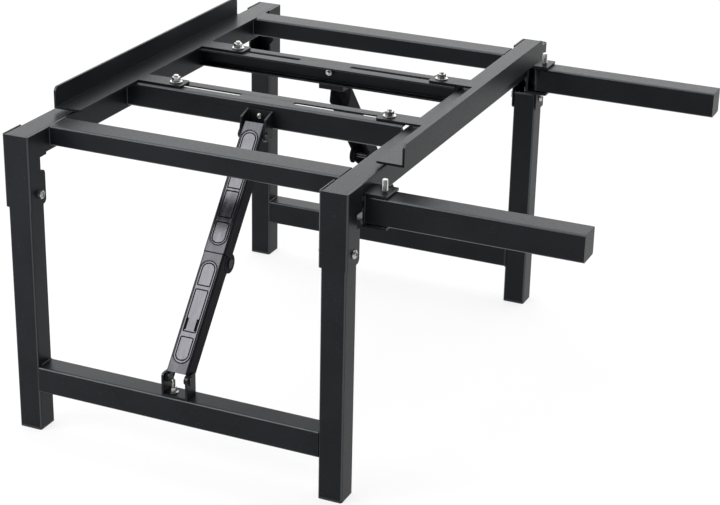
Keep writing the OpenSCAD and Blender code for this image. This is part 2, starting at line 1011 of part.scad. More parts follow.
left_rail();
right_rail();
near_cross_rail();
far_cross_rail();
near_slotted_bar();
far_slotted_bar();
near_left_socket();
near_right_socket();
far_left_socket();
far_right_socket();
leg_pivot_bolts();
leg_pivot_nuts();
near_arm_bracket();
far_arm_bracket();
arm_pivot_bolts();
near_top_bracket();
far_top_bracket();
top_bracket_screws();
top_bracket_nuts();
top_pins();
near_left_leg();
near_right_leg();
near_crossbar();
near_leg_sleeves();
near_foot_plugs();
near_foot_bracket();
near_foot_stud();
near_foot_nut();
near_foot_pins();
far_left_leg();
far_right_leg();
far_crossbar();
far_leg_sleeves();
far_foot_plugs();
far_foot_bracket();
far_foot_stud();
far_foot_nut();
far_foot_pins();
near_lower_strut();
near_upper_strut();
near_mid_pin();
far_lower_strut();
far_upper_strut();
far_mid_pin();
left_stop();
left_stop_bolts();
left_stop_washers();
left_stop_nuts();
right_stop();
right_stop_bolts();
right_stop_washers();
right_stop_nuts();
near_arm();
near_arm_cap();
near_arm_sleeve();
far_arm();
far_arm_cap();
far_arm_sleeve();
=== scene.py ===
"""Looks of a folding hive stand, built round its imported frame: coats, rounded edges, welds and fasteners."""

import json
import math

import bmesh
import bpy
from mathutils import Euler, Matrix, Vector


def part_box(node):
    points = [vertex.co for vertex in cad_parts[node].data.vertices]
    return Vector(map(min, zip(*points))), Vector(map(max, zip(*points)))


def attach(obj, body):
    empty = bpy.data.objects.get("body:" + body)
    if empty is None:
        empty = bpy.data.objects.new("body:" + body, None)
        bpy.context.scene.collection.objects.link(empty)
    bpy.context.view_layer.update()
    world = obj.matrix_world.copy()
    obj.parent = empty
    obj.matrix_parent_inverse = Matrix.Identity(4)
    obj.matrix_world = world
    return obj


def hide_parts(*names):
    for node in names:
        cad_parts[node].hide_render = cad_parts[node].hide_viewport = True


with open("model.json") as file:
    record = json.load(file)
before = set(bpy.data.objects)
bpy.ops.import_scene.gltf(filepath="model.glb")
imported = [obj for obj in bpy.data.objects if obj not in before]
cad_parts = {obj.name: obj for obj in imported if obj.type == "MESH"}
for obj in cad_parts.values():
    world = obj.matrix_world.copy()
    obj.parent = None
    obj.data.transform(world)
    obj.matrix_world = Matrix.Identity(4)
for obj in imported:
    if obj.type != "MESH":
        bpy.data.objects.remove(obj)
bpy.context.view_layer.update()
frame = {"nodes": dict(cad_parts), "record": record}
NODES = frame["nodes"]
SLOT_COLOUR = {m["slot"]: tuple(m["base_color"][:3]) for m in frame["record"]["materials"]}
MM = 0.001

bl_info = {
    "name": "Hive Stand Looks",
    "version": (1, 0, 0),
    "blender": (4, 5, 0),
    "location": "3D View > Sidebar > Hive Stand",
    "description": "Coats, rounded edges, welds and fasteners of a folding hive stand",
    "category": "Object",
}

# Ends and sides of the stand, with the way inward from each: along Y from an end, along X from a side

ENDS = {"near": 1, "far": -1}
SIDES = {"left": 1, "right": -1}

# CAD nodes by the way they are made

TUBES = ["left_rail", "right_rail"] + [
    end + piece for end in ENDS
    for piece in ("_cross_rail", "_left_leg", "_right_leg", "_crossbar", "_arm", "_arm_cap")]
SHEET = ["left_stop", "right_stop"] + [
    end + piece for end in ENDS
    for piece in ("_slotted_bar", "_left_socket", "_right_socket", "_arm_bracket", "_top_bracket",
                  "_foot_bracket")]
STRUTS = [end + piece for end in ENDS for piece in ("_lower_strut", "_upper_strut")]
SLEEVES = [end + piece for end in ENDS for piece in ("_leg_sleeves", "_arm_sleeve")]
PINS = ["top_pins"] + [end + piece for end in ENDS for piece in ("_foot_pins", "_mid_pin")]
PLUGS = [end + "_foot_plugs" for end in ENDS]

# Edges and seams

CORNER_ROUND = 2.6 * MM
SHEET_WALL = 2 * MM
MERGE_DISTANCE = 0.001 * MM
BEVEL_ANGLE = math.radians(35)
BEVEL_SEGMENTS = 2

# Powder coat: a painted highlight in the gloss of rounded edges, the gloss of flats, how square to an axis
# each faces, its dust and tint

EDGE_PAINTED_HIGHLIGHT = 0.8
FLAT_GLOSS = 0.12
EDGE_FACING = 0.84
FLAT_FACING = 0.97
DUST_GREY = (0.16, 0.16, 0.16)
POWDER_TINT = (0.88, 0.97, 1.0, 1.0)

# Pressed panels of the struts, measured along the brace from its foot pins

STRUT_START = 4 * MM
KNEE_SHARE = 0.485
BUTT_PAST_KNEE = 4 * MM
STRUT_PAST_TOP_PIN = 12 * MM
LOWER_PANEL_SHARES = (0.07, 0.937)
UPPER_PANEL_SHARES = (0.05, 0.943)
PANEL_ROUND = 11 * MM

# Painted light in the gloss of the struts: painted highlights on the panels and the outer web, painted shade
# in the band round the panels, on the walls and in the seam, and the distances between which it changes

PANEL_PAINTED_HIGHLIGHT = 1.0
BAND_PAINTED_SHADE = 0.04
WEB_PAINTED_HIGHLIGHT = 0.6
WALL_PAINTED_SHADE_SHARE = 0.02
SEAM_PAINTED_SHADE_SHARE = 0.1
PANEL_EDGE = (8.9 * MM, 9.2 * MM)
WEB_EDGE = (10.15 * MM, 10.4 * MM)
FACE_DEPTH = (7.05 * MM, 7.4 * MM)
SEAM_EDGE = (0.5 * MM, 0.9 * MM)
STRUT_TINT = (0.93, 0.92, 1.0, 1.0)

# Fasteners: a flat is half the width across flats

BOLT_RADIUS = 3 * MM
BOLT_FLAT = 4.33 * MM
BOLT_HEAD = 3.4 * MM
LEG_HEAD_RADIUS = 5 * MM
LEG_SOCKET_FLAT = 2 * MM
SCREW_RADIUS = 2.2 * MM
SCREW_HEAD = 2.6 * MM
SCREW_SOCKET_FLAT = 1.4 * MM
SCREW_TIP = 2 * MM
SMALL_NUT_FLAT = 3.64 * MM
NUT_HEIGHT = 5 * MM
BORE_PLAY = 0.06 * MM
CLAMP_PLAY = 0.05 * MM
WASHER_RIM = 0.25 * MM
TIP_RISE = 0.5 * MM
TIP_SHARES = (0.75, 0.4)

# Threads, hexagons and heads

ROUND_STEPS = 40
WASHER_STEPS = 48
HEX_STEPS = 72
THREAD_STEPS = 36
THREAD_RINGS = 8
THREAD_SLOPE = 1.5
THREAD_ROOT = 0.15
THREAD_CHAMFER_SHARE = 1.1
HEX_RIM_SHARE = 0.96
HEX_CHAMFER_SLOPE = math.tan(math.radians(30))
HEX_CROWN_SHARE = 0.5
BORE_CHAMFER = 0.25 * MM
BORE_CHAMFER_DEPTH = 0.3 * MM
DOME_ANGLE = math.radians(62)
DOME_RINGS = 8
DOME_FOOT_SHARE = 0.97
DOME_BRIM_SHARE = 0.18
DOME_CROWN_SHARE = 0.25
SOCKET_RINGS = ((1.08, 0.0), (1.0, 0.15 * MM), (1.0, 1.6 * MM), (0.3, 1.9 * MM))

# Weld beads

BEAD_STEPS = 10
BEAD_RINGS = 5
BEAD_FEWEST_RINGS = 6
BEAD_LOOK_SHARE = 0.4
BEAD_END_SHARE = 0.12
BEAD_RIPPLE_SHARE = 0.14
BEAD_SIDE = Vector((0.31, 0.52, 0.8))
BEAD_SHARP = 60
BAR_WELD = 11 * MM
TACK_SHARES = (0.15, 0.5, 0.85)
TACK_REACH = 3 * MM

# Stage, in metres: each soft box has a place, a target and a side length

SOFT_BOXES = {
    "key": ((-0.75, -1.25, 1.55), (0.0, -0.1, 0.2), 0.9),
    "side": ((-1.15, -1.0, 0.55), (-0.2, -0.25, 0.15), 0.6),
    "top": ((-0.1, 0.5, 2.1), (-0.05, 0.1, 0.2), 1.8),
}
FLOOR_REACH = 40
FLOOR_DROP = 0.3 * MM
FLOOR_WHITE_SHARE = 0.8
SKY_BACK = (-0.35, 0.86, 0.37)
SKY_FACING = (-0.1, 0.95)
SKY_DIM = 0.25
SKY_BRIGHT = 3.0
CAMERA_PLACE = (0.7720, -1.8354, 0.9879)
CAMERA_TURN_DEGREES = (67.30, -1.144, 24.067)


class HiveStandCoats(bpy.types.PropertyGroup):
    """Colours and gloss of the finishes"""

    powder_colour: bpy.props.FloatVectorProperty(
        name="Powder coat", description="Colour of the tubes and sheet parts", subtype="COLOR",
        size=3, min=0, max=1, default=SLOT_COLOUR["powder_coat"])
    powder_roughness: bpy.props.FloatProperty(
        name="Powder roughness", description="Roughness of the powder coat", subtype="FACTOR",
        min=0, max=1, default=0.36)
    strut_colour: bpy.props.FloatVectorProperty(
        name="Strut coat", description="Colour of the brace struts", subtype="COLOR",
        size=3, min=0, max=1, default=SLOT_COLOUR["strut_coat"])
    strut_roughness: bpy.props.FloatProperty(
        name="Strut roughness", description="Roughness of the strut coat", subtype="FACTOR",
        min=0, max=1, default=0.2)
    zinc_colour: bpy.props.FloatVectorProperty(
        name="Zinc", description="Colour of the plated fasteners", subtype="COLOR",
        size=3, min=0, max=1, default=SLOT_COLOUR["zinc"])
    plug_colour: bpy.props.FloatVectorProperty(
        name="Foot plugs", description="Colour of the plastic foot plugs", subtype="COLOR",
        size=3, min=0, max=1, default=SLOT_COLOUR["foot_plug"])


class HiveStandSizes(bpy.types.PropertyGroup):
    """Sizes of the small details"""

    tube_edge: bpy.props.FloatProperty(
        name="Tube edge", description="Rounding of a cut tube end", unit="LENGTH", default=0.3 * MM)
    sheet_edge: bpy.props.FloatProperty(
        name="Sheet edge", description="Rounding of a sheet edge under its coat", unit="LENGTH",
        default=0.45 * MM)
    strut_edge: bpy.props.FloatProperty(
        name="Strut edge", description="Rounding of a strut's edges and pressed lines", unit="LENGTH",
        default=0.18 * MM)
    pin_edge: bpy.props.FloatProperty(
        name="Pin edge", description="Rounding of pin heads, sleeves and foot plugs", unit="LENGTH",
        default=0.5 * MM)
    bead_radius: bpy.props.FloatProperty(
        name="Weld bead", description="Radius of a weld bead", unit="LENGTH", default=1.1 * MM)
    bead_pitch: bpy.props.FloatProperty(
        name="Weld ripple", description="Distance between the ripples of a bead", unit="LENGTH",
        default=1.5 * MM)
    thread_pitch: bpy.props.FloatProperty(
        name="Thread pitch", description="Pitch of the bolt threads", unit="LENGTH", default=1.0 * MM)
    thread_depth: bpy.props.FloatProperty(
        name="Thread depth", description="Depth of the bolt threads", unit="LENGTH", default=0.55 * MM)


class HiveStandStage(bpy.types.PropertyGroup):
    """Floor, lights and camera"""

    floor_colour: bpy.props.FloatVectorProperty(
        name="Floor", description="Colour of the floor", subtype="COLOR",
        size=3, min=0, max=1, default=(0.86, 0.86, 0.86))
    key_power: bpy.props.FloatProperty(
        name="Key light", description="Power of the soft box in front of the braces", unit="POWER",
        default=13)
    side_power: bpy.props.FloatProperty(
        name="Side light", description="Power of the low soft box at the left", unit="POWER", default=9)
    top_power: bpy.props.FloatProperty(
        name="Top light", description="Power of the soft box overhead", unit="POWER", default=10)
    lens: bpy.props.FloatProperty(
        name="Lens", description="Focal length of the camera", unit="CAMERA", default=93.8)


# Shader nodes

def node_tree(name):
    """A new material with one shader, linked to its output."""
    material = bpy.data.materials.new(name)
    material.use_nodes = True
    tree = material.node_tree
    tree.nodes.clear()
    shader = tree.nodes.new("ShaderNodeBsdfPrincipled")
    output = tree.nodes.new("ShaderNodeOutputMaterial")
    tree.links.new(shader.outputs["BSDF"], output.inputs["Surface"])
    return material, tree, shader


def noise(tree, scale, detail, stretch=None):
    """Noise over a piece, in its own coordinates."""
    place = tree.nodes.new("ShaderNodeTexCoord")
    source = place.outputs["Object"]
    if stretch:
        mapping = tree.nodes.new("ShaderNodeMapping")
        mapping.inputs["Scale"].default_value = stretch
        tree.links.new(source, mapping.inputs["Vector"])
        source = mapping.outputs["Vector"]
    texture = tree.nodes.new("ShaderNodeTexNoise")
    texture.inputs["Scale"].default_value = scale
    texture.inputs["Detail"].default_value = detail
    tree.links.new(source, texture.inputs["Vector"])
    return texture.outputs["Fac"]


def spread(tree, value, low, high, from_low=0.3, from_high=0.7, smooth=False):
    """Maps a value to a new range, and holds it there. The usual source range is that of noise."""
    node = tree.nodes.new("ShaderNodeMapRange")
    if smooth:
        node.interpolation_type = "SMOOTHSTEP"
    node.inputs["From Min"].default_value = from_low
    node.inputs["From Max"].default_value = from_high
    node.inputs["To Min"].default_value = low
    node.inputs["To Max"].default_value = high
    tree.links.new(value, node.inputs["Value"])
    return node.outputs["Result"]


def math_node(tree, operation, *values):
    """One step of arithmetic on sockets and numbers."""
    node = tree.nodes.new("ShaderNodeMath")
    node.operation = operation
    for socket, value in zip(node.inputs, values):
        if isinstance(value, bpy.types.NodeSocket):
            tree.links.new(value, socket)
        else:
            socket.default_value = value
    return node.outputs[0]


def axes(tree, coordinate):
    """X, Y and Z of one of the texture coordinates."""
    place = tree.nodes.new("ShaderNodeTexCoord")
    parts = tree.nodes.new("ShaderNodeSeparateXYZ")
    tree.links.new(place.outputs[coordinate], parts.inputs[0])
    return [parts.outputs[axis] for axis in "XYZ"]


def blend_colours(tree, factor, a, b):
    """Goes from one colour to another. Each is a socket or three numbers."""
    node = tree.nodes.new("ShaderNodeMix")
    node.data_type = "RGBA"
    tree.links.new(factor, node.inputs["Factor"])
    for socket, colour in (("A", a), ("B", b)):
        place = [s for s in node.inputs if s.name == socket and s.type == "RGBA"][0]
        if isinstance(colour, bpy.types.NodeSocket):
            tree.links.new(colour, place)
        else:
            place.default_value = (*colour, 1)
    return [s for s in node.outputs if s.type == "RGBA"][0]


def mottle(tree, colour, scale, detail, dark, light):
    """A colour that drifts between a dark and a light multiple of itself."""
    shades = [tuple(min(1.0, c * factor) for c in colour) for factor in (dark, light)]
    return blend_colours(tree, spread(tree, noise(tree, scale, detail), 0, 1), *shades)


def relief(tree, height, depth, strength, below=None):
    """Fine bumps, over other bumps if there are any."""
    node = tree.nodes.new("ShaderNodeBump")
    node.inputs["Strength"].default_value = strength
    node.inputs["Distance"].default_value = depth
    tree.links.new(height, node.inputs["Height"])
    if below:
        tree.links.new(below, node.inputs["Normal"])
    return node.outputs["Normal"]


# Finishes

def powder_coat(coats):
    """Black satin coat with a fine peel and a little dust, and a painted highlight where an edge is rounded.
    """
    material, tree, shader = node_tree("powder_coat_satin")
    link = tree.links.new
    peel = noise(tree, scale=520, detail=2)
    grit = noise(tree, scale=2600, detail=1)
    colour = mottle(tree, coats.powder_colour, scale=16, detail=3, dark=0.55, light=0.85)
    specks = noise(tree, scale=900, detail=0)
    dust = spread(tree, specks, low=0, high=0.25, from_low=0.80, from_high=0.86)
    link(blend_colours(tree, dust, colour, DUST_GREY), shader.inputs["Base Color"])
    rough = coats.powder_roughness
    link(spread(tree, peel, low=rough - 0.05, high=rough + 0.06), shader.inputs["Roughness"])
    bumps = relief(tree, peel, depth=0.05 * MM, strength=0.3)
    link(relief(tree, grit, depth=0.02 * MM, strength=0.3, below=bumps), shader.inputs["Normal"])
    # Painted highlight: the specular level is raised where the normal leans between the axes, on the rounded
    # edges
    x, y, z = [math_node(tree, "ABSOLUTE", part) for part in axes(tree, "Normal")]
    facing = math_node(tree, "MAXIMUM", math_node(tree, "MAXIMUM", x, y), z)
    link(spread(tree, facing, EDGE_PAINTED_HIGHLIGHT, FLAT_GLOSS, EDGE_FACING, FLAT_FACING),
         shader.inputs["Specular IOR Level"])
    shader.inputs["Specular Tint"].default_value = POWDER_TINT
    return material


def strut_coat(coats):
    """Glossy coat over pressed steel with faint drawing marks."""
    material, tree, shader = node_tree("strut_coat_gloss")
    link = tree.links.new
    draw = noise(tree, scale=260, detail=3, stretch=(1, 0.25, 0.25))
    link(mottle(tree, coats.strut_colour, scale=30, detail=3, dark=0.45, light=0.75),
         shader.inputs["Base Color"])
    rough = coats.strut_roughness
    link(spread(tree, draw, low=rough - 0.05, high=rough + 0.07), shader.inputs["Roughness"])
    link(relief(tree, draw, depth=0.04 * MM, strength=0.25), shader.inputs["Normal"])
    # The specular level carries painted highlights and painted shade
    link(strut_painted_light(tree), shader.inputs["Specular IOR Level"])
    shader.inputs["Specular Tint"].default_value = STRUT_TINT
    return material


def strut_painted_light(tree):
    """Painted light in the gloss of a strut: painted highlights on the panels and a fairly bright web, painted
    shade in a band round the panels, on the walls and in the seam.
    """
    def less(a, b):
        return math_node(tree, "SUBTRACT", a, b)

    def plus(a, b):
        return math_node(tree, "ADD", a, b)

    def times(a, b):
        return math_node(tree, "MULTIPLY", a, b)

    def apart(a, b):
        return math_node(tree, "ABSOLUTE", less(a, b))

    low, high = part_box("near_foot_pins")
    foot = (low + high) / 2
    low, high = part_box("top_pins")
    pin_radius = (high.z - low.z) / 2
    rise = Vector((low.y + pin_radius - foot.y, (low.z + high.z) / 2 - foot.z))
    length = rise.length
    along_y, along_z = rise / length
    x, y, z = axes(tree, "Object")
    aside = apart(x, foot.x)
    inward = less(-foot.y, math_node(tree, "ABSOLUTE", y))
    upward = less(z, foot.z)
    along = plus(times(inward, along_y), times(upward, along_z))
    out = less(times(upward, along_y), times(inward, along_z))
    butt = KNEE_SHARE * length + BUTT_PAST_KNEE
    rims = []
    for start, end, (first, last) in ((STRUT_START, butt, LOWER_PANEL_SHARES),
                                      (butt, length + STRUT_PAST_TOP_PIN, UPPER_PANEL_SHARES)):
        centre = start + (end - start) * (first + last) / 2
        straight = (end - start) * (last - first) / 2 - PANEL_ROUND
        past = math_node(tree, "MAXIMUM", less(apart(along, centre), straight), 0.0)
        rims.append(math_node(tree, "SQRT", plus(times(past, past), times(aside, aside))))
    rim = math_node(tree, "MINIMUM", *rims)
    # Painted highlight on the panels and the outer web, painted shade in the band round the panels
    panel_highlight = spread(tree, rim, PANEL_PAINTED_HIGHLIGHT, BAND_PAINTED_SHADE, *PANEL_EDGE)
    web = spread(tree, rim, 0.0, WEB_PAINTED_HIGHLIGHT, *WEB_EDGE)
    # Painted shade on the walls set back from the web's face, and in the seam at the butt
    face = spread(tree, out, WALL_PAINTED_SHADE_SHARE, 1.0, *FACE_DEPTH)
    seam_shade = spread(tree, apart(along, butt), SEAM_PAINTED_SHADE_SHARE, 1.0, *SEAM_EDGE)
    return times(math_node(tree, "MAXIMUM", panel_highlight, web), times(face, seam_shade))


def zinc_plate(coats):
    """Zinc plate with a fine grain."""
    material, tree, shader = node_tree("zinc_plate")
    link = tree.links.new
    grain = noise(tree, scale=1500, detail=3)
    link(mottle(tree, coats.zinc_colour, scale=120, detail=2, dark=0.6, light=0.9),
         shader.inputs["Base Color"])
    link(spread(tree, grain, low=0.2, high=0.38), shader.inputs["Roughness"])
    link(relief(tree, grain, depth=0.02 * MM, strength=0.3), shader.inputs["Normal"])
    shader.inputs["Metallic"].default_value = 1.0
    return material


def plug_plastic(coats):
    """Matt moulded plastic."""
    material, tree, shader = node_tree("plug_plastic")
    link = tree.links.new
    grain = noise(tree, scale=1800, detail=2)
    link(mottle(tree, coats.plug_colour, scale=60, detail=2, dark=0.8, light=1.4),
         shader.inputs["Base Color"])
    link(spread(tree, grain, low=0.5, high=0.7), shader.inputs["Roughness"])
    link(relief(tree, grain, depth=0.05 * MM, strength=0.4), shader.inputs["Normal"])
    return material


FINISHES = {"powder_coat": powder_coat, "strut_coat": strut_coat, "zinc": zinc_plate,
            "foot_plug": plug_plastic}
MADE_FINISHES = {}


def finish_for(slot):
    """The material of a slot, made at its first use."""
    if slot not in MADE_FINISHES:
        MADE_FINISHES[slot] = FINISHES[slot](bpy.context.scene.hive_stand_coats)
    return MADE_FINISHES[slot]


# CAD nodes and new pieces

def dress(node, slot, edge):
    """Gives a CAD node its finish, and rounds its sharp edges by a modifier."""
    piece = NODES[node]
    piece.data.materials.clear()
    piece.data.materials.append(finish_for(slot))
    normals = piece.data.attributes.get("custom_normal")
    if normals:
        piece.data.attributes.remove(normals)
    piece.data.shade_smooth()
    weld = piece.modifiers.new("Join faces", "WELD")
    weld.merge_threshold = MERGE_DISTANCE
    bevel = piece.modifiers.new("Round edges", "BEVEL")
    bevel.width = edge
    bevel.segments = BEVEL_SEGMENTS
    bevel.limit_method = "ANGLE"
    bevel.angle_limit = BEVEL_ANGLE
    bevel.miter_outer = "MITER_ARC"
    piece.modifiers.new("Even shading", "WEIGHTED_NORMAL")


def add_piece(name, bm, body, slot, replaced=(), sharp=32):
    """Makes a piece that rides on a body. Edges above the sharp angle, in degrees, stay sharp."""
    mesh = bpy.data.meshes.new(name)
    bmesh.ops.recalc_face_normals(bm, faces=bm.faces)
    bm.to_mesh(mesh)
    bm.free()
    mesh.shade_smooth()
    mesh.set_sharp_from_angle(angle=math.radians(sharp))
    mesh.materials.append(finish_for(slot))
    piece = bpy.data.objects.new(name, mesh)
    bpy.context.scene.collection.objects.link(piece)
    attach(piece, body)
    if replaced:
        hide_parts(*replaced)


def seat(point, axis):
    """Matrix that stands a shape made along +Z on a point, along an axis."""
    turned_to = Vector((0, 0, 1)).rotation_difference(Vector(axis))
    return Matrix.Translation(point) @ turned_to.to_matrix().to_4x4()


def full_turn(steps):
    """Angles of a full turn in even steps."""
    return [2 * math.pi * i / steps for i in range(steps)]


def ring(angles, radius, z):
    """Points round the Z axis. The radius and the height are numbers, or functions of the angle."""
    points = []
    for a in angles:
        r = radius(a) if callable(radius) else radius
        points.append((r * math.cos(a), r * math.sin(a), z(a) if callable(z) else z))
    return points


def skin(bm, rings, matrix, closed=True):
    """Joins rings that have the same number of points into one surface, closed or open at both ends."""
    loops = [[bm.verts.new(matrix @ Vector(p)) for p in points] for points in rings]
    for low, high in zip(loops, loops[1:]):
        for i in range(len(low)):
            j = (i + 1) % len(low)
            bm.faces.new((low[i], low[j], high[j], high[i]))
    if closed:
        bm.faces.new(loops[0][::-1])
        bm.faces.new(loops[-1])


def turned(bm, profile, matrix):
    """A turned shape from (radius, height) points, closed at both ends."""
    skin(bm, [ring(full_turn(ROUND_STEPS), r, z) for r, z in profile], matrix)


def threaded_rod(bm, radius, start, end, matrix, sizes):
    """A rod along +Z with a real thread and a chamfered, slightly domed tip."""
    angles = full_turn(THREAD_STEPS)
    pitch, depth = sizes.thread_pitch, sizes.thread_depth
    count = max(THREAD_RINGS, round((end - start) / pitch * THREAD_RINGS))
    tip_radius = radius - THREAD_CHAMFER_SHARE * depth

    def reach(a, z):
        phase = (z / pitch - a / (2 * math.pi)) % 1
        ridge = 1 - abs(2 * phase - 1)
        crest = min(1, max(0, THREAD_SLOPE * ridge - THREAD_ROOT))
        return min(radius - depth * (1 - crest), tip_radius + (end - z))

    rings = []
    for k in range(count + 1):
        z = start + (end - start) * k / count
        rings.append(ring(angles, lambda a: reach(a, z), z))
    tip = [[(s * x, s * y, end + (1 - s) * TIP_RISE) for x, y, _ in rings[-1]] for s in TIP_SHARES]
    skin(bm, rings + tip, matrix)


def hex_reach(angle, flat):
    """Distance from the middle of a hexagon to its edge at an angle."""
    return flat / math.cos((angle + math.pi / 6) % (math.pi / 3) - math.pi / 6)


def hex_block(bm, flat, height, matrix, bore=0.0, both=True):
    """A hexagon nut or head with turned chamfers, at both ends or only at its top."""
    angles = full_turn(HEX_STEPS)
    rim = HEX_RIM_SHARE * flat

    def reach(a):
        return hex_reach(a, flat)

    def cut(a):
        return (reach(a) - rim) * HEX_CHAMFER_SLOPE

    rings = [ring(angles, rim, 0), ring(angles, reach, cut)] if both else [ring(angles, reach, 0)]
    rings += [ring(angles, reach, lambda a: height - cut(a)), ring(angles, rim, height)]
    if bore:
        rings.insert(0, ring(angles, bore, 0))
        rings.append(ring(angles, bore + BORE_CHAMFER, height))
        rings.append(ring(angles, bore, height - BORE_CHAMFER_DEPTH))
    else:
        rings.append(ring(angles, HEX_CROWN_SHARE * rim, height))
    skin(bm, rings, matrix, closed=not bore)
    if bore:
        bmesh.ops.bridge_loops(bm, edges=[e for e in bm.edges if e.is_boundary])


def button_head(bm, radius, height, socket, matrix):
    """A low round head with a hexagon socket, standing on Z = 0."""
    angles = full_turn(HEX_STEPS)
    rings = [ring(angles, radius * DOME_FOOT_SHARE, 0)]
    for k in range(DOME_RINGS + 1):
        share = k / DOME_RINGS
        slope = share * DOME_ANGLE
        r = radius * (math.cos(slope) - math.cos(DOME_ANGLE) * DOME_CROWN_SHARE * share)
        rise = DOME_BRIM_SHARE + (1 - DOME_BRIM_SHARE) * math.sin(slope) / math.sin(DOME_ANGLE)
        rings.append(ring(angles, r, height * rise))
    for scale, depth in SOCKET_RINGS:
        rings.append(ring(angles, lambda a: scale * hex_reach(a, socket), height - depth))
    skin(bm, rings, matrix)


def bead(bm, path, sizes):
    """A rippled weld bead along a path, with rounded ends."""
    radius, pitch = sizes.bead_radius, sizes.bead_pitch
    points = [Vector(p) for p in path]
    lengths = [(b - a).length for a, b in zip(points, points[1:])]
    total = sum(lengths)
    count = max(BEAD_FEWEST_RINGS, round(total / pitch * BEAD_RINGS))
    look = BEAD_LOOK_SHARE * pitch

    def at(s):
        for a, b, length in zip(points, points[1:], lengths):
            if s <= length:
                return a.lerp(b, s / length)
            s -= length
        return points[-1]

    rings = []
    for k in range(count + 1):
        s = total * k / count
        ahead = (at(min(total, s + look)) - at(max(0, s - look))).normalized()
        side = (BEAD_SIDE - ahead * BEAD_SIDE.dot(ahead)).normalized()
        other = ahead.cross(side)
        end = min(1.0, math.sqrt(max(0.0, min(s, total - s)) / radius) + BEAD_END_SHARE)
        r = radius * end * (1 + BEAD_RIPPLE_SHARE * math.cos(2 * math.pi * s / pitch))
        rings.append([at(s) + r * (math.cos(a) * side + math.sin(a) * other) for a in full_turn(BEAD_STEPS)])
    skin(bm, rings, Matrix.Identity(4))


# Operators

class HIVESTAND_OT_tubes(bpy.types.Operator):
    """Coats the rails, legs, crossbars and arms"""

    bl_idname = "hive_stand.tubes"
    bl_label = "Tubes"

    def execute(self, context):
        for node in TUBES:
            dress(node, "powder_coat", context.scene.hive_stand_sizes.tube_edge)
        return {"FINISHED"}


class HIVESTAND_OT_sheet_parts(bpy.types.Operator):
    """Coats the sockets, slotted bars, brackets and stops"""

    bl_idname = "hive_stand.sheet_parts"
    bl_label = "Sheet parts"

    def execute(self, context):
        for node in SHEET:
            dress(node, "powder_coat", context.scene.hive_stand_sizes.sheet_edge)
        return {"FINISHED"}


class HIVESTAND_OT_struts(bpy.types.Operator):
    """Coats the pressed struts of the braces"""

    bl_idname = "hive_stand.struts"
    bl_label = "Brace struts"

    def execute(self, context):
        for node in STRUTS:
            dress(node, "strut_coat", context.scene.hive_stand_sizes.strut_edge)
        return {"FINISHED"}


class HIVESTAND_OT_pins(bpy.types.Operator):
    """Finishes the pins, sleeves and foot plugs"""

    bl_idname = "hive_stand.pins"
    bl_label = "Pins and plugs"

    def execute(self, context):
        edge = context.scene.hive_stand_sizes.pin_edge
        for nodes, slot in ((SLEEVES, "zinc"), (PINS, "powder_coat"), (PLUGS, "foot_plug")):
            for node in nodes:
                dress(node, slot, edge)
        return {"FINISHED"}


class HIVESTAND_OT_stop_bolts(bpy.types.Operator):
    """Makes the bolts, washers and nuts that clamp the stops"""

    bl_idname = "hive_stand.stop_bolts"
    bl_label = "Stop bolts"

    def execute(self, context):
        sizes = context.scene.hive_stand_sizes
        sunk = 0.3 * MM
        bore = BOLT_RADIUS + BORE_PLAY
        for side in SIDES:
            stop = side + "_stop"
            low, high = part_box(stop + "_washers")
            radius = (high.x - low.x) / 2
            flat = radius - WASHER_RIM
            washer = [(bore, low.z), (flat, low.z), (radius, low.z + WASHER_RIM),
                      (radius, high.z - WASHER_RIM), (flat, high.z), (bore, high.z), (bore, low.z)]
            under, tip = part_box(stop + "_bolts")
            head_top = under.z + BOLT_HEAD
            nut_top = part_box(stop + "_nuts")[1].z
            bolts, washers, nuts = bmesh.new(), bmesh.new(), bmesh.new()
            for y in (low.y + radius, high.y - radius):
                place = Vector((low.x + radius, y, 0))
                upright = Matrix.Translation(place)
                hanging = seat(place + Vector((0, 0, head_top - CLAMP_PLAY)), (0, 0, -1))
                hex_block(bolts, BOLT_FLAT, BOLT_HEAD - CLAMP_PLAY, hanging, both=False)
                turned(bolts, [(BOLT_RADIUS, head_top - sunk), (BOLT_RADIUS, high.z)], upright)
                threaded_rod(bolts, BOLT_RADIUS, high.z, tip.z, upright, sizes)
                skin(washers, [ring(full_turn(WASHER_STEPS), r, z) for r, z in washer], upright, closed=False)
                on_washer = Matrix.Translation(place + Vector((0, 0, high.z)))
                hex_block(nuts, BOLT_FLAT, nut_top - high.z, on_washer)
            bmesh.ops.remove_doubles(washers, verts=washers.verts, dist=MERGE_DISTANCE)
            add_piece(stop + "_clamp_bolts", bolts, stop, "zinc", [stop + "_bolts"])
            add_piece(stop + "_clamp_washers", washers, stop, "zinc", [stop + "_washers"])
            add_piece(stop + "_clamp_nuts", nuts, stop, "zinc", [stop + "_nuts"])
        return {"FINISHED"}


class HIVESTAND_OT_arm_bolts(bpy.types.Operator):
    """Makes the upright pivot bolts of the arms"""

    bl_idname = "hive_stand.arm_bolts"
    bl_label = "Arm bolts"

    def execute(self, context):
        sizes = context.scene.hive_stand_sizes
        sunk, bare_shank, tip_room = 0.2 * MM, 0.8 * MM, 0.3 * MM
        bolts = bmesh.new()
        under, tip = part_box("arm_pivot_bolts")
        head_top = under.z + BOLT_HEAD
        for end in ENDS:
            low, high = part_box(end + "_arm_sleeve")
            place = Vector(((low.x + high.x) / 2, (low.y + high.y) / 2, 0))
            upright = Matrix.Translation(place)
            thread_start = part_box(end + "_arm_bracket")[1].z + bare_shank
            hanging = seat(place + Vector((0, 0, head_top)), (0, 0, -1))
            hex_block(bolts, BOLT_FLAT, BOLT_HEAD, hanging, both=False)
            turned(bolts, [(BOLT_RADIUS, head_top - sunk), (BOLT_RADIUS, thread_start)], upright)
            threaded_rod(bolts, BOLT_RADIUS, thread_start, tip.z - tip_room, upright, sizes)
        add_piece("arm_upright_bolts", bolts, "top_frame", "zinc", ["arm_pivot_bolts"])
        return {"FINISHED"}


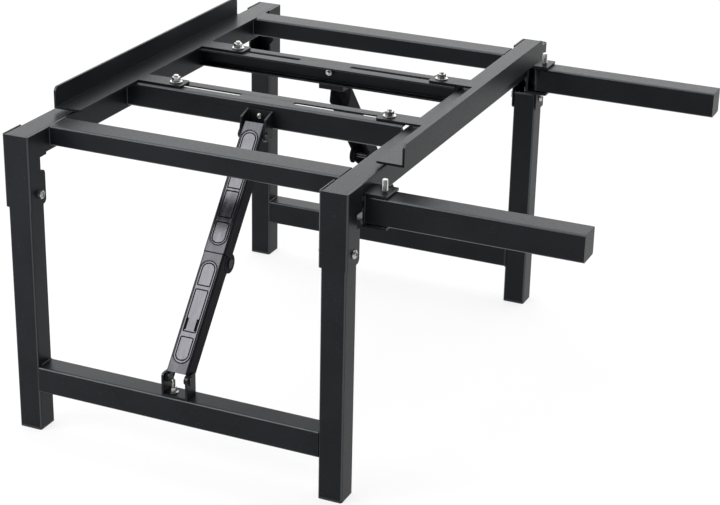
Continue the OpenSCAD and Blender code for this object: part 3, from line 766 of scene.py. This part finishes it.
class HIVESTAND_OT_leg_bolts(bpy.types.Operator):
    """Makes the pivot bolts and nuts of the legs"""

    bl_idname = "hive_stand.leg_bolts"
    bl_label = "Leg bolts"

    def execute(self, context):
        sizes = context.scene.hive_stand_sizes
        tip_room = 0.5 * MM
        bolts, nuts = bmesh.new(), bmesh.new()
        for end in ENDS:
            low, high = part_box(end + "_leg_sleeves")
            y, z = (low.y + high.y) / 2, (low.z + high.z) / 2
            for side, way in SIDES.items():
                low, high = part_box(f"{end}_{side}_socket")
                outer, inner = (low.x, high.x) if way > 0 else (high.x, low.x)
                length = abs(inner - outer)
                outward = seat(Vector((outer, y, z)), (-way, 0, 0))
                through = seat(Vector((outer, y, z)), (way, 0, 0))
                inside = seat(Vector((inner, y, z)), (way, 0, 0))
                button_head(bolts, LEG_HEAD_RADIUS, BOLT_HEAD, LEG_SOCKET_FLAT, outward)
                turned(bolts, [(BOLT_RADIUS, 0.0), (BOLT_RADIUS, length)], through)
                threaded_rod(bolts, BOLT_RADIUS, length, length + NUT_HEIGHT - tip_room, through, sizes)
                hex_block(nuts, BOLT_FLAT, NUT_HEIGHT, inside, bore=BOLT_RADIUS + BORE_PLAY)
        add_piece("leg_button_bolts", bolts, "top_frame", "zinc", ["leg_pivot_bolts"])
        add_piece("leg_lock_nuts", nuts, "top_frame", "zinc", ["leg_pivot_nuts"])
        return {"FINISHED"}


class HIVESTAND_OT_bracket_bolts(bpy.types.Operator):
    """Makes the screws of the top brackets and the studs of the foot brackets"""

    bl_idname = "hive_stand.bracket_bolts"
    bl_label = "Bracket bolts"

    def execute(self, context):
        sizes = context.scene.hive_stand_sizes
        screws, nuts = bmesh.new(), bmesh.new()
        for end, way in ENDS.items():
            self.top_screw(screws, nuts, end, way, sizes)
            self.foot_stud(end, sizes)
        add_piece("top_bracket_button_screws", screws, "top_frame", "zinc", ["top_bracket_screws"])
        add_piece("top_bracket_lock_nuts", nuts, "top_frame", "zinc", ["top_bracket_nuts"])
        return {"FINISHED"}

    def top_screw(self, screws, nuts, end, way, sizes):
        low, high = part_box("top_bracket_screws")
        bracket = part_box(end + "_top_bracket")
        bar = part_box(end + "_slotted_bar")
        face = bracket[1].y - SHEET_WALL if way > 0 else bracket[0].y + SHEET_WALL
        web = bar[0].y + SHEET_WALL if way > 0 else bar[1].y - SHEET_WALL
        centre = Vector(((low.x + high.x) / 2, face, (low.z + high.z) / 2))
        thread_start = abs(web - face) + NUT_HEIGHT
        outward, through = seat(centre, (0, -way, 0)), seat(centre, (0, way, 0))
        behind = seat(Vector((centre.x, web, centre.z)), (0, way, 0))
        button_head(screws, (high.z - low.z) / 2, SCREW_HEAD, SCREW_SOCKET_FLAT, outward)
        turned(screws, [(SCREW_RADIUS, 0.0), (SCREW_RADIUS, thread_start)], through)
        threaded_rod(screws, SCREW_RADIUS, thread_start, thread_start + SCREW_TIP, through, sizes)
        hex_block(nuts, SMALL_NUT_FLAT, NUT_HEIGHT, behind, bore=SCREW_RADIUS + BORE_PLAY)

    def foot_stud(self, end, sizes):
        tip_room = 0.5 * MM
        flange_foot, flange_low, flange_high = 0.2 * MM, 0.3 * MM, 0.8 * MM
        collar_radius, collar_top, hex_start = 3.9 * MM, 1.5 * MM, 1.4 * MM
        stud, nut = bmesh.new(), bmesh.new()
        low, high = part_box(end + "_foot_stud")
        place = Matrix.Translation(Vector(((low.x + high.x) / 2, (low.y + high.y) / 2, 0)))
        shank = (high.x - low.x) / 2
        threaded_rod(stud, shank, low.z, high.z - tip_room, place, sizes)
        low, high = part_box(end + "_foot_nut")
        rim = (high.x - low.x) / 2
        turned(nut, [(shank + BORE_PLAY, low.z), (rim - flange_foot, low.z), (rim, low.z + flange_low),
                     (rim, low.z + flange_high), (collar_radius, low.z + collar_top)], place)
        hex_block(nut, SMALL_NUT_FLAT, high.z - low.z - hex_start,
                  place @ Matrix.Translation((0, 0, low.z + hex_start)), both=False)
        add_piece(end + "_foot_threaded_stud", stud, end + "_legs", "zinc", [end + "_foot_stud"])
        add_piece(end + "_foot_flange_nut", nut, end + "_legs", "zinc", [end + "_foot_nut"])


class HIVESTAND_OT_welds(bpy.types.Operator):
    """Lays the weld beads where the tubes and sheets meet"""

    bl_idname = "hive_stand.welds"
    bl_label = "Welds"

    def execute(self, context):
        sizes = context.scene.hive_stand_sizes
        top = bmesh.new()
        for end, way in ENDS.items():
            self.rail_welds(top, end, way, sizes)
            self.arm_bracket_welds(top, end, sizes)
            self.socket_welds(top, end, way, sizes)
            legs = bmesh.new()
            self.crossbar_welds(legs, end, way, sizes)
            add_piece(end + "_leg_welds", legs, end + "_legs", "powder_coat", sharp=BEAD_SHARP)
        add_piece("top_frame_welds", top, "top_frame", "powder_coat", sharp=BEAD_SHARP)
        return {"FINISHED"}

    def rail_welds(self, top, end, way, sizes):
        """Beads round the ends of the cross rail and of the slotted bar."""
        inner_faces = (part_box("left_rail")[1].x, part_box("right_rail")[0].x)
        low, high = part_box(end + "_cross_rail")
        upper, lower = high.z - CORNER_ROUND, low.z + CORNER_ROUND
        for x in inner_faces:
            bead(top, [(x, low.y, upper), (x, low.y, lower), (x, low.y + CORNER_ROUND, low.z),
                       (x, high.y - CORNER_ROUND, low.z), (x, high.y, lower), (x, high.y, upper)], sizes)
        low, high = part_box(end + "_slotted_bar")
        upper, lower = high.z - CORNER_ROUND, low.z + CORNER_ROUND
        web = low.y if way > 0 else high.y
        for x in inner_faces:
            bead(top, [(x, web, upper), (x, web, lower), (x, web + way * CORNER_ROUND, low.z),
                       (x, web + way * BAR_WELD, low.z)], sizes)

    def arm_bracket_welds(self, top, end, sizes):
        """Tacks down both edges of the arm bracket."""
        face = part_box("right_rail")[1].x
        low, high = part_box(end + "_arm_bracket")
        for y in (low.y, high.y):
            for share in TACK_SHARES:
                middle = low.z + share * (high.z - low.z)
                bead(top, [(face, y, middle - TACK_REACH), (face, y, middle + TACK_REACH)], sizes)

    def socket_welds(self, top, end, way, sizes):
        """Upright beads where the sockets end on the rails."""
        for side in SIDES:
            low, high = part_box(f"{end}_{side}_socket")
            edge = high.y if way > 0 else low.y
            low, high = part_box(side + "_rail")
            for x in (low.x, high.x):
                bead(top, [(x, edge, low.z + CORNER_ROUND), (x, edge, high.z - CORNER_ROUND)], sizes)

    def crossbar_welds(self, legs, end, way, sizes):
        """Beads round the ends of the crossbar, apart from its front."""
        low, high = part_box(end + "_crossbar")
        front, back = (low.y, high.y) if way > 0 else (high.y, low.y)
        start, turn = front + way * 2 * CORNER_ROUND, back - way * CORNER_ROUND
        for x in (low.x, high.x):
            bead(legs, [(x, start, high.z), (x, turn, high.z), (x, back, high.z - CORNER_ROUND),
                        (x, back, low.z + CORNER_ROUND), (x, turn, low.z), (x, start, low.z)], sizes)


class HIVESTAND_OT_stage(bpy.types.Operator):
    """Sets the floor, the lights and the camera"""

    bl_idname = "hive_stand.stage"
    bl_label = "Stage"

    def execute(self, context):
        stage = context.scene.hive_stand_stage
        context.scene.view_settings.view_transform = "Standard"
        self.floor(context, stage)
        self.world(context)
        for name, (place, target, side) in SOFT_BOXES.items():
            self.soft_box(context, name, place, target, side, getattr(stage, name + "_power"))
        self.camera(context, stage)
        return {"FINISHED"}

    def floor(self, context, stage):
        """A pale floor that keeps the shadow, and looks whiter to the camera and in mirrored light."""
        material = bpy.data.materials.new("floor_pale")
        material.use_nodes = True
        tree = material.node_tree
        tree.nodes.clear()
        link = tree.links.new
        diffuse = tree.nodes.new("ShaderNodeBsdfDiffuse")
        diffuse.inputs["Color"].default_value = (*stage.floor_colour, 1)
        glow = tree.nodes.new("ShaderNodeEmission")
        path = tree.nodes.new("ShaderNodeLightPath").outputs
        seen = math_node(tree, "MAXIMUM", path["Is Camera Ray"], path["Is Glossy Ray"])
        seen = math_node(tree, "MAXIMUM", seen, path["Is Transmission Ray"])
        mix = tree.nodes.new("ShaderNodeMixShader")
        output = tree.nodes.new("ShaderNodeOutputMaterial")
        link(math_node(tree, "MULTIPLY", seen, FLOOR_WHITE_SHARE), mix.inputs["Fac"])
        link(diffuse.outputs[0], mix.inputs[1])
        link(glow.outputs[0], mix.inputs[2])
        link(mix.outputs[0], output.inputs["Surface"])
        bm = bmesh.new()
        bmesh.ops.create_grid(bm, x_segments=4, y_segments=4, size=FLOOR_REACH)
        mesh = bpy.data.meshes.new("floor")
        bm.to_mesh(mesh)
        bm.free()
        mesh.materials.append(material)
        floor = bpy.data.objects.new("floor", mesh)
        floor.location.z = -FLOOR_DROP
        context.scene.collection.objects.link(floor)

    def world(self, context):
        """A sky that is brightest behind the stand."""
        world = bpy.data.worlds.new("studio")
        context.scene.world = world
        world.use_nodes = True
        tree = world.node_tree
        tree.nodes.clear()
        link = tree.links.new
        place = tree.nodes.new("ShaderNodeTexCoord")
        facing = tree.nodes.new("ShaderNodeVectorMath")
        facing.operation = "DOT_PRODUCT"
        facing.inputs[1].default_value = SKY_BACK
        light = tree.nodes.new("ShaderNodeBackground")
        output = tree.nodes.new("ShaderNodeOutputWorld")
        link(place.outputs["Generated"], facing.inputs[0])
        link(spread(tree, facing.outputs["Value"], SKY_DIM, SKY_BRIGHT, *SKY_FACING, smooth=True),
             light.inputs["Strength"])
        link(light.outputs[0], output.inputs["Surface"])

    def soft_box(self, context, name, place, target, side, power):
        light = bpy.data.lights.new(name, "AREA")
        light.shape = "SQUARE"
        light.size = side
        light.energy = power
        lamp = bpy.data.objects.new(name, light)
        lamp.location = place
        lamp.rotation_euler = (Vector(target) - Vector(place)).to_track_quat("-Z", "Y").to_euler()
        context.scene.collection.objects.link(lamp)

    def camera(self, context, stage):
        data = bpy.data.cameras.new("camera")
        data.lens = stage.lens
        camera = bpy.data.objects.new("camera", data)
        camera.location = CAMERA_PLACE
        camera.rotation_euler = Euler([math.radians(a) for a in CAMERA_TURN_DEGREES])
        context.scene.collection.objects.link(camera)
        context.scene.camera = camera


PIECES = (HIVESTAND_OT_tubes, HIVESTAND_OT_sheet_parts, HIVESTAND_OT_struts, HIVESTAND_OT_pins,
          HIVESTAND_OT_stop_bolts, HIVESTAND_OT_arm_bolts, HIVESTAND_OT_leg_bolts,
          HIVESTAND_OT_bracket_bolts, HIVESTAND_OT_welds, HIVESTAND_OT_stage)
GROUPS = {"hive_stand_coats": HiveStandCoats, "hive_stand_sizes": HiveStandSizes,
          "hive_stand_stage": HiveStandStage}


class HIVESTAND_PT_panel(bpy.types.Panel):
    """Lists the pieces and their settings"""

    bl_idname = "HIVESTAND_PT_panel"
    bl_label = "Hive Stand"
    bl_space_type = "VIEW_3D"
    bl_region_type = "UI"
    bl_category = "Hive Stand"

    def draw(self, context):
        for name, group in GROUPS.items():
            box = self.layout.box()
            for setting in group.__annotations__:
                box.prop(getattr(context.scene, name), setting)
        for operator in PIECES:
            self.layout.operator(operator.bl_idname)


def register():
    for group in GROUPS.values():
        bpy.utils.register_class(group)
    for operator in PIECES:
        bpy.utils.register_class(operator)
    bpy.utils.register_class(HIVESTAND_PT_panel)
    for name, group in GROUPS.items():
        setattr(bpy.types.Scene, name, bpy.props.PointerProperty(type=group))


def unregister():
    for name in GROUPS:
        delattr(bpy.types.Scene, name)
    bpy.utils.unregister_class(HIVESTAND_PT_panel)
    for operator in reversed(PIECES):
        bpy.utils.unregister_class(operator)
    for group in reversed(list(GROUPS.values())):
        bpy.utils.unregister_class(group)


def main():
    register()
    bpy.ops.hive_stand.stage()
    bpy.ops.hive_stand.tubes()
    bpy.ops.hive_stand.sheet_parts()
    bpy.ops.hive_stand.struts()
    bpy.ops.hive_stand.pins()
    bpy.ops.hive_stand.stop_bolts()
    bpy.ops.hive_stand.arm_bolts()
    bpy.ops.hive_stand.leg_bolts()
    bpy.ops.hive_stand.bracket_bolts()
    bpy.ops.hive_stand.welds()


if __name__ == "__main__":
    main()
